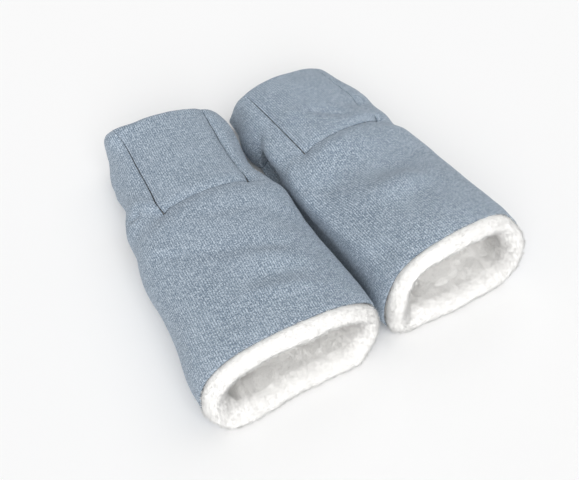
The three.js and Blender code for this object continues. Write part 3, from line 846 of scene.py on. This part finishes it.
# The sock of pile inside: all round in the sleeve, and open below in the head, where the flap closes it
def buildLining(muff):
    r = liningSizes
    q, arch, keepArch = coverNet(muff, r["gap"], r["seamGap"], r["seamGap"], lambda s: r["gap"],
                                 r["end"], 4, r["step"])
    floorCount = r["floorCount"]
    bottom = arch[:, :1] * np.arange(floorCount) / floorCount
    lines = np.concatenate([bottom, arch, (8 - bottom[:, 1:])[:, ::-1]], 1)
    rings = q[:, 0]
    bottomFrom = int(np.argmax(rings >= flap["slit"]))
    columns = lines.shape[1]

    def keep(i, j):
        if j < floorCount or j >= columns - floorCount:
            return i >= bottomFrom
        k = j - floorCount
        return firstCrown <= k < arch.shape[1] - 1 - firstCrown or keepArch(i, k)

    # the lining dips in under the roll at its end
    rise = -r["dip"] * smooth(q, r["dipFrom"], r["end"])
    q = mouthed(muff, q, lines)
    relief = paddingRelief(muff, q, lines) * (1 - 0.8 * smooth(q, 0.27, 0.29))
    outer = wallPoints(muff, q, lines, layers["furOuter"] - relief)
    inner = wallPoints(muff, q, lines, layers["furInner"] + rise - relief)
    normals = -gridNormals(inner, True)
    lumps = lumpsOf(muff, inner, r, "lump") + lumpsOf(muff, inner, r, "wave", 7)
    lumps = lumps * (1 - 0.5 * smooth(q, 0.265, 0.292))
    inner = inner + normals * lumps[..., None]
    # the pile stands thickest near the mouth, where it shows
    there = np.array([[keep(min(i, len(rings) - 2), j) for j in range(columns)] for i in range(len(rings))])
    along = np.maximum(smooth(rings, 0.13, 0.25), 0.12)[:, None]
    return pilePiece(muff, "_lining_pile", *closedSheet(outer, inner, keep, loop=True), inner, normals,
                     there * along * r["density"], True, r, "_muff", "_fur_lining")


flapLining = {"gap": 0.0016, "step": 0.004, "lump": 0.0008, "lumpScale": 0.0085, "density": 0.35e6,
              "draw": 3, "flow": (0, -0.2, 0), "shortest": 0.6, "longer": 0.4}


def buildFlapLining(muff):
    r = flapLining
    q, lines = flapNet(muff, endRings[5:] + ringsBetween(form["endRadius"] + 0.004, padEnd, [], r["step"]),
                       lambda s: r["gap"])
    outer = wallPoints(muff, q, lines, layers["furOuter"], flap["hingeLine"])
    inner = wallPoints(muff, q, lines, layers["furInner"] - r["gap"], flap["hingeLine"])
    normals = -gridNormals(inner, False)
    inner = inner + normals * lumpsOf(muff, inner, r, "lump")[..., None]
    return pilePiece(muff, "_flap_pile", *closedSheet(outer, inner, None), inner, normals,
                     np.full(inner.shape[:2], r["density"]), False, r, "_flap", "_flap_lining")


# Press studs: each part turned from its profile of (radius, height), in millimetres
studSizes = {"spacing": 0.060, "segments": 48, "bevel": 0.00006}
studProfiles = {
    "cap": [(0, 0.42), (2.6, 0.36), (4.4, 0.34), (5.4, 0.48), (5.9, 0.76), (5.85, 1.02), (5.5, 1.1),
            (1.4, 1.1), (1.4, 4.0), (1.15, 4.1), (0, 4.1)],
    "socket": [(1.72, 3.3), (4.9, 3.3), (5.2, 3.5), (5.2, 4.9), (4.9, 5.35), (4.3, 5.5), (3.3, 5.5),
               (2.75, 5.3), (2.6, 5.0), (2.6, 4.1), (1.72, 4.1), (1.72, 3.3)],
    "knob": [(0, 4.5), (1.3, 4.55), (2.0, 4.75), (2.3, 5.05), (2.15, 5.4), (1.95, 5.8), (4.9, 5.8),
             (5.2, 5.95), (5.2, 6.45), (4.9, 6.6), (0, 6.6)],
    "backing": [(0, 6.9), (1.2, 6.9), (1.4, 7.1), (1.4, 8.8), (4.8, 8.8), (5.2, 9.0), (5.1, 9.5),
                (4.6, 9.8), (0, 9.8)],
}
studBodies = {"cap": "_flap", "socket": "_flap", "knob": "_muff", "backing": "_muff"}


def buildStud(muff, number, part):
    x, y = studSizes["spacing"] * (number - 1.5), -form["headLength"]
    profile = studProfiles[part]
    rings = profile[:-1] if profile[0] == profile[-1] else profile
    segments = studSizes["segments"]
    turns = [2 * math.pi * k / segments for k in range(segments)]
    points = [(x + radius * 0.001 * math.cos(a), y + radius * 0.001 * math.sin(a), height * 0.001)
              for radius, height in rings for a in turns]
    faces = ringFaces(len(rings), segments)[:segments * (len(profile) - 1)]
    name = "_press_stud_" + str(number) + "_" + part
    made = tidyMesh(newObject(muff, name + "_turned", points, faces))
    bevel = made.modifiers.new("edges", "BEVEL")
    bevel.width = studSizes["bevel"]
    bevel.segments = 2
    bevel.limit_method = "ANGLE"
    return placeOn(made, muff["name"] + studBodies[part], "stud_metal", muff["name"] + name)


# Sets a node's inputs by name or number. A value that is a socket is linked.
def setInputs(tree, node, values):
    for key, value in values.items():
        if isinstance(value, bpy.types.NodeSocket):
            tree.links.new(value, node.inputs[key])
        else:
            node.inputs[key].default_value = value


def addNode(tree, kind, inputs={}, **settings):
    node = tree.nodes.new("ShaderNode" + kind)
    for key, value in settings.items():
        setattr(node, key, value)
    setInputs(tree, node, inputs)
    return node


def mathNode(tree, operation, *values):
    return addNode(tree, "Math", dict(enumerate(values)), operation=operation).outputs[0]


def scaled(tree, value, factor, offset):
    return mathNode(tree, "MULTIPLY_ADD", value, factor, offset)


def noiseFac(tree, place, scale, detail, rough=0.5, twist=0.0):
    inputs = {"Vector": place, "Scale": scale, "Detail": detail, "Roughness": rough, "Distortion": twist}
    return addNode(tree, "TexNoise", inputs).outputs["Fac"]


def bumpFrom(tree, height, distance, strength):
    inputs = {"Height": height, "Distance": distance, "Strength": strength}
    return addNode(tree, "Bump", inputs).outputs[0]


def mixColour(tree, share, first, second, mode="MIX"):
    return addNode(tree, "Mix", {0: share, 6: first, 7: second},
                   data_type="RGBA", blend_type=mode).outputs[2]


# From 0 to 255 on screen to the linear values that shaders take
def colour(red, green, blue):
    def linear(c):
        c /= 255
        return c / 12.92 if c <= 0.04045 else ((c + 0.055) / 1.055) ** 2.4
    return (linear(red), linear(green), linear(blue), 1.0)


# Plain weave of melange yarn, its colour darkened in the hollows between the yarns as painted shade. Vector
# is the cloth coordinate in metres.
def weaveGroup():
    tree = bpy.data.node_groups.new("melangeWeave", "ShaderNodeTree")
    taken = {"Vector": "Vector", "Warp Pitch": "Float", "Weft Pitch": "Float", "Dark": "Color",
             "Middle": "Color", "Light": "Color"}
    given = {"Color": "Color", "Height": "Float", "Rough": "Float"}
    for way, sockets in (("INPUT", taken), ("OUTPUT", given)):
        for title, kind in sockets.items():
            tree.interface.new_socket(name=title, in_out=way, socket_type="NodeSocket" + kind)
    given = tree.nodes.new("NodeGroupInput").outputs
    place = given["Vector"]
    split = addNode(tree, "SeparateXYZ", {0: place}).outputs
    shift = scaled(tree, noiseFac(tree, place, 60.0, 2.0), 0.0008, -0.0004)
    u, v = (mathNode(tree, "DIVIDE", mathNode(tree, "ADD", split[k], shift), given[pitch])
            for k, pitch in enumerate(("Warp Pitch", "Weft Pitch")))
    cellU = mathNode(tree, "FLOOR", u)
    # the stitches of one rib stand half a stitch beside the next one's
    v = scaled(tree, mathNode(tree, "FLOORED_MODULO", cellU, 2.0), 0.5, v)
    cellV = mathNode(tree, "FLOOR", v)
    turned = [mathNode(tree, "MULTIPLY", x, 2 * math.pi) for x in (u, v)]
    overRib, overStitch = (scaled(tree, mathNode(tree, "COSINE", x), -0.5, 0.5) for x in turned)
    height = mathNode(tree, "MULTIPLY", overRib, scaled(tree, overStitch, 0.45, 0.55))
    # the tone: slubs along a yarn, a draw for each stitch, and flecks of fibre
    yarn = addNode(tree, "CombineXYZ", {
        0: scaled(tree, cellU, 3.7, 0.5), 1: mathNode(tree, "MULTIPLY", v, 0.9)}).outputs[0]
    slub = noiseFac(tree, yarn, 1.0, 3.0, 0.7)
    cell = addNode(tree, "CombineXYZ", {0: cellU, 1: cellV}).outputs[0]
    stitch = addNode(tree, "TexWhiteNoise", {"Vector": cell}, noise_dimensions="2D").outputs[0]
    fibre = noiseFac(tree, place, 900.0, 1.0, 0.8)
    tone = mathNode(tree, "ADD", scaled(tree, slub, 0.6, 0.2), scaled(tree, stitch, 0.24, -0.12))
    tone = mathNode(tree, "ADD", tone, scaled(tree, fibre, 1.9, -0.95))
    colours = given["Dark"]
    for title, start, end in (("Middle", 0.30, 0.50), ("Light", 0.52, 0.72)):
        ramp = addNode(tree, "MapRange", {"Value": tone, "From Min": start, "From Max": end})
        colours = mixColour(tree, ramp.outputs[0], colours, given[title])
    # painted shade: the colour is darkened where the weave's height is low, in the hollows between yarns,
    # and left lightest on their crowns
    paintedCreviceShade = scaled(tree, height, 0.58, 0.715)
    shade = addNode(tree, "CombineColor", {0: paintedCreviceShade, 1: paintedCreviceShade, 2: paintedCreviceShade}).outputs[0]
    setInputs(tree, tree.nodes.new("NodeGroupOutput"), {
        "Color": mixColour(tree, 1.0, colours, shade, "MULTIPLY"), "Height": height,
        "Rough": scaled(tree, fibre, 0.2, 0.78)})
    return tree


def newMaterial(name):
    material = bpy.data.materials.new(name)
    material.use_nodes = True
    return material, material.node_tree, material.node_tree.nodes["Principled BSDF"]


weaveLook = {"Dark": colour(103, 119, 136), "Middle": colour(147, 162, 177), "Light": colour(192, 204, 216),
             "Warp Pitch": 0.0021, "Weft Pitch": 0.0016}
clothLook = {"bump": 0.00035, "worn": colour(186, 199, 212), "sheen": colour(225, 233, 242)}


def clothMaterial():
    material, tree, shader = newMaterial("melange_cloth")
    place = addNode(tree, "UVMap", uv_map="weave").outputs[0]
    weave = addNode(tree, "Group", {"Vector": place, **weaveLook}, node_tree=weaveGroup()).outputs
    # soft patches, where the cloth has been handled and its nap lies another way
    patches = noiseFac(tree, addNode(tree, "TexCoord").outputs["Object"], 24.0, 3.0, 0.55)
    share = scaled(tree, patches, 0.34, -0.05)
    # the weave's colour carries painted shade in the hollows between its yarns
    setInputs(tree, shader, {
        "Base Color": mixColour(tree, share, weave["Color"], clothLook["worn"]),
        "Roughness": weave["Rough"], "Normal": bumpFrom(tree, weave["Height"], clothLook["bump"], 0.9),
        "Specular IOR Level": 0.2, "Sheen Weight": 0.25, "Sheen Roughness": 0.5,
        "Sheen Tint": clothLook["sheen"]})
    return material


# The pile's colour: a little darker at the strands' roots and on their ground, as painted shade, and
# lighter at the tips
furShadedRootAndTip = {"root": colour(251, 250, 247), "tip": colour(255, 254, 252)}


def furMaterial():
    material, tree, shader = newMaterial("white_pile")
    tip = addNode(tree, "Attribute", attribute_name="pileRootShadeToTip").outputs["Fac"]
    place = addNode(tree, "TexCoord").outputs["Object"]
    tufts = noiseFac(tree, place, 210.0, 3.0, 0.6)
    # painted shade towards the roots, plus tone that differs at random from the tufts noise
    share = mathNode(tree, "ADD", tip, scaled(tree, tufts, 0.9, -0.2))
    setInputs(tree, shader, {
        "Base Color": mixColour(tree, share, furShadedRootAndTip["root"], furShadedRootAndTip["tip"]),
        "Roughness": scaled(tree, tufts, 0.15, 0.82),
        "Normal": bumpFrom(tree, noiseFac(tree, place, 900.0, 2.0), 0.0006, 0.5),
        "Specular IOR Level": 0.1, "Sheen Weight": 0.3, "Sheen Roughness": 0.6})
    return material


# A web of fibres or rubbed metal: one noise gives the colour and the bump
def webMaterial(name, dark, light, texture, bump):
    material, tree, shader = newMaterial(name)
    web = noiseFac(tree, addNode(tree, "TexCoord").outputs["Object"], *texture)
    setInputs(tree, shader, {"Base Color": mixColour(tree, web, dark, light),
                             "Normal": bumpFrom(tree, web, *bump)})
    return material, tree, shader, web


def waddingMaterial():
    material, tree, shader, _ = webMaterial("polyester_wadding", colour(214, 214, 210),
                                            colour(244, 244, 240), (420.0, 5.0, 0.75, 1.6), (0.0008, 0.7))
    setInputs(tree, shader, {"Roughness": 0.95, "Sheen Weight": 0.2})
    return material


def metalMaterial():
    material, tree, shader, rub = webMaterial("nickel_stud", colour(150, 152, 154), colour(196, 197, 198),
                                              (900.0, 4.0, 0.65), (0.00003, 0.4))
    setInputs(tree, shader, {"Roughness": scaled(tree, rub, 0.25, 0.18), "Metallic": 1.0})
    return material


cloth, fur, wadding, metal = clothMaterial(), furMaterial(), waddingMaterial(), metalMaterial()
print("materials ready")

for muff in muffs.values():
    for title, material, builders in (
            ("cloth", cloth, (buildCover, buildCrown, buildUnder, buildFlap)),
            ("wadding", wadding,
             (buildUpperWadding, buildCrownWadding, buildUnderWadding, buildFlapWadding)),
            ("pile", fur, (buildRoll, buildLining, buildFlapLining))):
        for build in builders:
            build(muff).data.materials.append(material)
        print(muff["name"], title, "ready")
    for number in (1, 2):
        for part in studProfiles:
            buildStud(muff, number, part).data.materials.append(metal)
print("pieces ready")

# Camera at the photograph's angle
cameraSizes = {
    "place": (-0.24048, -0.43577, 0.59989), "target": (-0.00229, -0.00922, 0.0), "focalPixels": 812.09,
    "imageWidth": 579, "sensor": 36.0,
}
cameraData = bpy.data.cameras.new("camera")
cameraData.sensor_width = cameraSizes["sensor"]
cameraData.lens = cameraSizes["focalPixels"] * cameraSizes["sensor"] / cameraSizes["imageWidth"]
cameraData.clip_start = 0.01
camera = addObject("camera", cameraData)
camera.location = cameraSizes["place"]
look = Vector(cameraSizes["target"]) - camera.location
camera.rotation_euler = look.to_track_quat("-Z", "Y").to_euler()
bpy.context.scene.camera = camera

lightSizes = {
    "front": {"strength": 2.20, "angle": 60, "elevation": 44, "from": (-0.42, -0.91)},
    "top": {"strength": 0.58, "angle": 60, "elevation": 60, "from": (0.75, 0.55)},
    "sky": 0.38,
    "background": 0.93,
    "floorColour": (247, 247, 247),
    "floorSize": 4.0,
}
half = lightSizes["floorSize"]
mesh = bpy.data.meshes.new("floor")
corners = [(-half, -half, 0), (half, -half, 0), (half, half, 0), (-half, half, 0)]
mesh.from_pydata(corners, [], [(0, 1, 2, 3)])
material, tree, shader = newMaterial("pale_floor")
setInputs(tree, shader, {"Base Color": colour(*lightSizes["floorColour"]), "Roughness": 1.0,
                         "Specular IOR Level": 0.0})
mesh.materials.append(material)
floor = addObject("floor", mesh)

for title in ("front", "top"):
    sizes = lightSizes[title]
    data = bpy.data.lights.new(title + "_softbox", "SUN")
    data.energy = sizes["strength"]
    data.angle = math.radians(sizes["angle"])
    lamp = addObject(title + "_softbox", data)
    rise = math.radians(sizes["elevation"])
    flat = Vector(sizes["from"]).normalized() * math.cos(rise)
    lamp.rotation_euler = Vector((flat.x, flat.y, math.sin(rise))).to_track_quat("Z", "Y").to_euler()
world = bpy.data.worlds.new("studio")
world.use_nodes = True
tree = world.node_tree
tree.nodes.clear()
seen, lit = (addNode(tree, "Background", {"Color": (1, 1, 1, 1), "Strength": lightSizes[key]})
             .outputs[0] for key in ("background", "sky"))
toCamera = addNode(tree, "LightPath").outputs["Is Camera Ray"]
both = addNode(tree, "MixShader", {0: toCamera, 1: lit, 2: seen})
addNode(tree, "OutputWorld", {0: both.outputs[0]})
bpy.context.scene.world = world
bpy.context.scene.view_settings.view_transform = "Standard"
print("studio ready")
